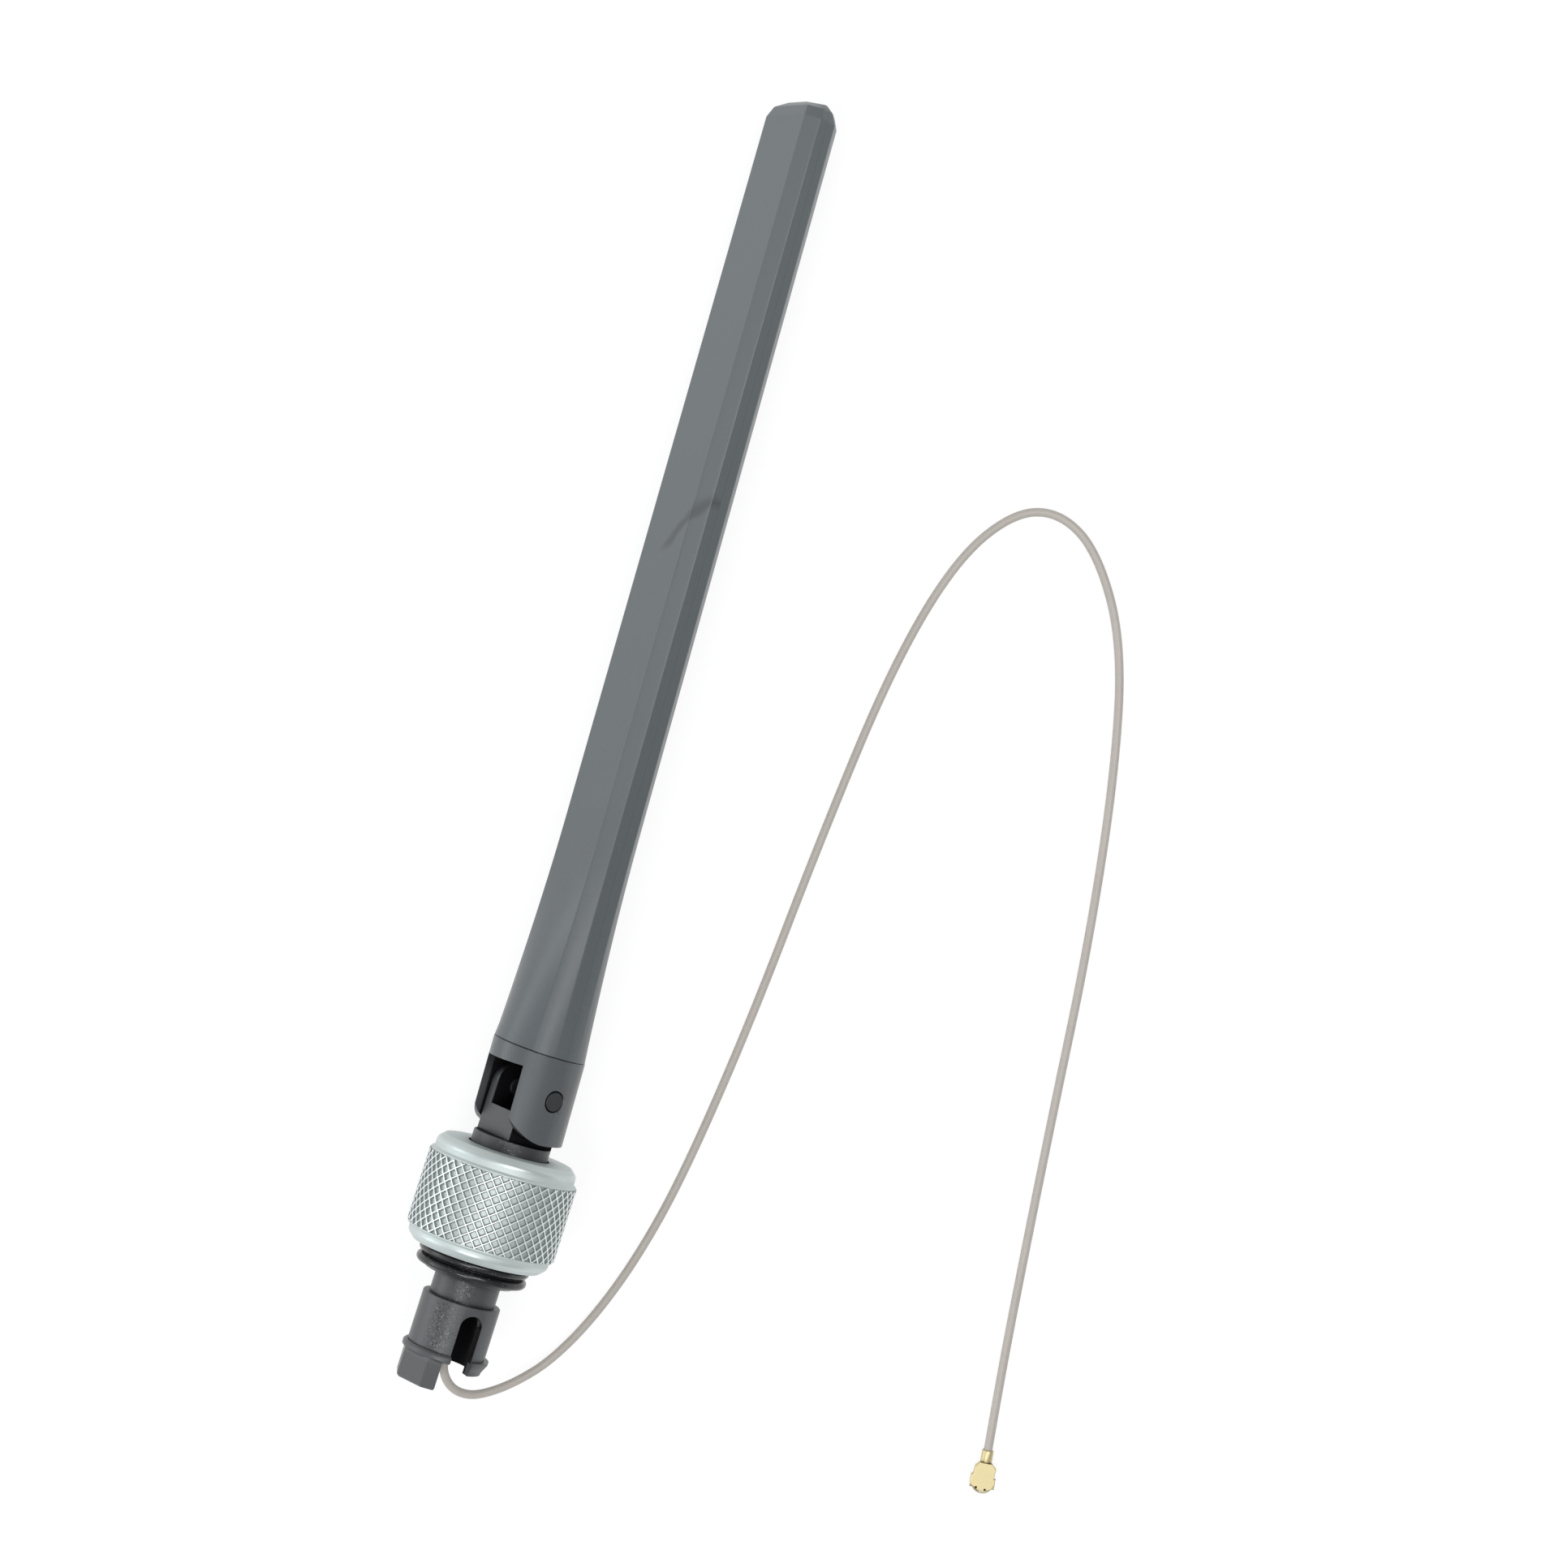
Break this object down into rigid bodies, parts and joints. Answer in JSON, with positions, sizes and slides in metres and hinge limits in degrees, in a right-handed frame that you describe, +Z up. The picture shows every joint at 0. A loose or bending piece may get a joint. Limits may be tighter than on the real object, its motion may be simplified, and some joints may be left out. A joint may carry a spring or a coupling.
{
  "type": "drone antenna",
  "caption": "Folding rod antenna: flat octagonal rod on a pinned knuckle, knurled coupling nut, sealed snap foot, and a loose micro coax lead that ends in a push-on plug.",
  "frame": {"origin": "centre of the bounding box's footprint on the surface that the antenna lies on, taken without the loose lead and its plug", "axes": "+Z up; +Y along the foot and nut towards the rod's tip; +X to the side that the loose lead lies on"},
  "size_m": [0.0831, 0.1721, 0.0201],
  "materials": {
    "base_plastic": "fine matt texture, moulded",
    "knuckle_plastic": "fine matt texture, moulded",
    "pin_plastic": "fine matt texture, moulded",
    "rod_plastic": "fine matt texture, moulded",
    "seal_rubber": "glossy, lightly greased",
    "nut_aluminium": "pale anodised, cut knurl with bright edges",
    "washer_plastic": "smooth sliding plastic",
    "grommet_rubber": "soft matt moulding",
    "lead_jacket": "smooth extruded jacket",
    "lead_braid": "tinned copper braid",
    "lead_dielectric": "smooth clear white",
    "lead_conductor": "plated wire",
    "board_laminate": "coated glass-fibre laminate",
    "board_copper": "etched copper",
    "solder_metal": "bright solder",
    "pad_foam": "soft foam",
    "plug_gold": "thin gold plating",
    "plug_plastic": "moulded insulator"
  },
  "bodies": {
    "base": {"mount_body": "base_plastic", "o_ring_upper": "seal_rubber", "o_ring_lower": "seal_rubber", "cable_grommet": "grommet_rubber", "coax_base_run": "lead_jacket", "coax_cable": "lead_jacket", "plug_shell": "plug_gold", "plug_insulator": "plug_plastic", "plug_contact": "plug_gold", "plug_lead_end": "lead_dielectric"},
    "washer": {"slip_washer": "washer_plastic"},
    "nut": {"knurled_nut": "nut_aluminium"},
    "rod": {"radome_shell": "rod_plastic", "hinge_knuckle": "knuckle_plastic", "hinge_pin_front": "pin_plastic", "hinge_pin_rear": "pin_plastic", "coax_rod_run": "lead_jacket", "coax_braid_end": "lead_braid", "coax_dielectric_end": "lead_dielectric", "coax_conductor_end": "lead_conductor", "antenna_board": "board_laminate", "radiator_lower": "board_copper", "radiator_upper": "board_copper", "shield_solder": "solder_metal", "feed_solder": "solder_metal", "board_pad": "pad_foam"}
  },
  "joints": [
    {"name": "antenna_fold", "type": "hinge", "parent": "base", "child": "rod", "pos_m": [0, -0.04655, 0.00915], "axis": [0.6534, 0.0452, 0.7556], "range_deg": [-2.3, 87.7]},
    {"name": "nut_slide", "type": "slide", "parent": "base", "child": "washer", "axis": [0, -0.9982, 0.0596], "range_m": [0, 0.0093]},
    {"name": "nut_turn", "type": "hinge", "parent": "washer", "child": "nut", "pos_m": [0, -0.06312, 0.01014], "axis": [0, -0.9982, 0.0596], "continuous": true}
  ]
}
